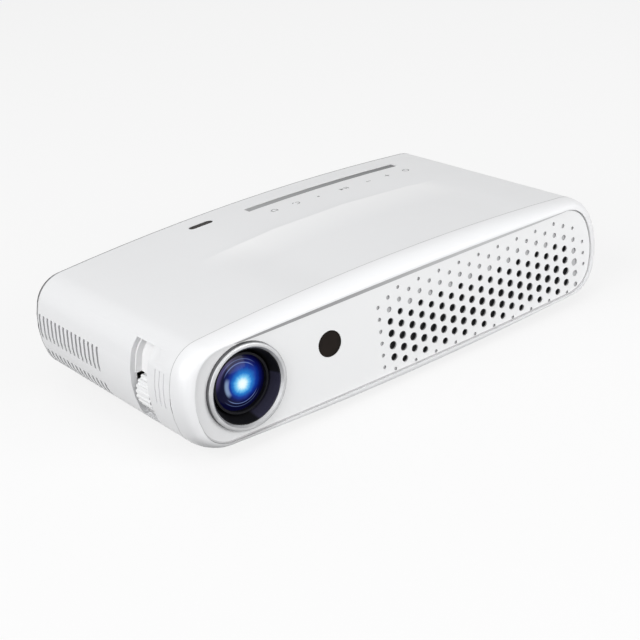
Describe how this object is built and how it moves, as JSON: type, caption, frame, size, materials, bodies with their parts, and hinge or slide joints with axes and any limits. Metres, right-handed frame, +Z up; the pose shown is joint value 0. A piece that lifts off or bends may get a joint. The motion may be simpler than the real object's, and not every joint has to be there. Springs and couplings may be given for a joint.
{
  "type": "projector with disc drive",
  "caption": "White portable projector with a ringed lens, a front panel of graded perforations, a side focus wheel and a slim disc tray that slides out of one end.",
  "frame": {"origin": "centre of the bounding box at the level the rubber feet stand on", "axes": "-Y is the front with the lens and the perforations, +X is the end with the disc tray (to the right of someone facing the front), +Z up"},
  "size_m": [0.25, 0.1436, 0.062],
  "materials": {
    "white_gloss": "smooth white gloss",
    "white_front": "smooth white satin",
    "recess_white": "moulded",
    "grey_insert": "satin",
    "dark_plastic": "moulded",
    "black_mesh": "fine mesh",
    "dark_window": "polished",
    "silver_trim": "spun satin",
    "black_anodised": "black anodised",
    "lens_glass": "coated",
    "rubber": "matt",
    "steel": "zinc plated",
    "brass": "turned",
    "bare_aluminium": "extruded",
    "board_green": "solder mask",
    "chip_black": "moulded",
    "paper_cone": "pressed",
    "led_white": "ceramic",
    "socket_steel": "plated"
  },
  "bodies": {
    "housing": {"top_cover": "white_gloss", "bottom_case": "white_gloss", "front_bezel": "white_gloss", "front_panel": "white_front", "grille_mesh": "black_mesh", "ir_window": "dark_window", "ir_receiver": "board_green", "light_bar": "grey_insert", "top_window": "dark_window", "touch_board": "board_green", "rear_panel": "dark_plastic", "rear_screws": "steel", "rubber_feet": "rubber", "case_screws": "steel", "tripod_insert": "brass", "focus_recess": "recess_white", "lens_trim_ring": "silver_trim", "lens_hood": "black_anodised", "lens_holder": "black_anodised", "ring_clip": "steel", "wheel_axle": "steel", "engine_housing": "black_anodised", "led_modules": "led_white", "chip_board": "board_green", "heat_sink": "bare_aluminium", "fan_frame": "dark_plastic", "main_board": "board_green", "board_chips": "chip_black", "board_standoffs": "brass", "hdmi_socket": "socket_steel", "usb_sockets": "socket_steel", "audio_jack": "dark_plastic", "dc_inlet": "dark_plastic", "speaker_frames": "dark_plastic", "speaker_cones": "paper_cone", "drive_base": "steel", "drive_cover": "steel"},
    "tray": {"disc_tray": "dark_plastic", "tray_bezel": "white_gloss", "spindle_motor": "steel", "guide_rods": "steel", "sled_motor": "steel"},
    "rails": {"drive_rails": "steel"},
    "button": {"eject_button": "white_front"},
    "turntable": {"spindle_hub": "dark_plastic"},
    "pickup": {"pickup_sled": "dark_plastic", "pickup_lens": "lens_glass"},
    "screw": {"lead_screw": "steel"},
    "ring": {"focus_ring": "dark_plastic"},
    "wheel": {"focus_wheel": "white_front"},
    "barrel": {"focus_barrel": "black_anodised", "front_lens": "lens_glass", "rear_lens": "lens_glass"},
    "rotor": {"fan_rotor": "dark_plastic"}
  },
  "joints": [
    {"name": "tray_slide", "type": "slide", "parent": "housing", "child": "tray", "axis": [1, 0, 0], "range_m": [0, 0.128]},
    {"name": "rail_slide", "type": "slide", "parent": "housing", "child": "rails", "axis": [1, 0, 0], "range_m": [0, 0.0641]},
    {"name": "button_press", "type": "slide", "parent": "tray", "child": "button", "axis": [-1, 0, 0], "range_m": [0, 0.001], "stiffness_N_per_m": 300},
    {"name": "turntable_spin", "type": "hinge", "parent": "tray", "child": "turntable", "pos_m": [0.0572, 0.00325, 0.0262], "axis": [0, 0, 1], "continuous": true},
    {"name": "pickup_slide", "type": "slide", "parent": "tray", "child": "pickup", "axis": [0, 1, 0], "range_m": [0, 0.03]},
    {"name": "screw_spin", "type": "hinge", "parent": "tray", "child": "screw", "pos_m": [0.0767, 0.0272, 0.0232], "axis": [0, 1, 0], "range_deg": [-5, 3605]},
    {"name": "focus_ring_turn", "type": "hinge", "parent": "housing", "child": "ring", "pos_m": [-0.092, -0.024, 0.031], "axis": [0, 1, 0], "range_deg": [-45, 45]},
    {"name": "focus_wheel_turn", "type": "hinge", "parent": "housing", "child": "wheel", "pos_m": [-0.11501, -0.033, 0.026], "axis": [0, 1, 0], "range_deg": [-144, 144]},
    {"name": "barrel_slide", "type": "slide", "parent": "housing", "child": "barrel", "axis": [0, 1, 0], "range_m": [-0.0025, 0.0025]},
    {"name": "fan_spin", "type": "hinge", "parent": "housing", "child": "rotor", "pos_m": [-0.1095, 0.03475, 0.031], "axis": [1, 0, 0], "continuous": true}
  ],
  "couplings": [
    {"joint": "rail_slide", "follows": "tray_slide", "ratio": 0.5},
    {"joint": "screw_spin", "follows": "pickup_slide", "rad_per_m": 2094.4},
    {"joint": "focus_ring_turn", "follows": "barrel_slide", "rad_per_m": 314.16},
    {"joint": "focus_wheel_turn", "follows": "barrel_slide", "rad_per_m": -1001.4}
  ]
}
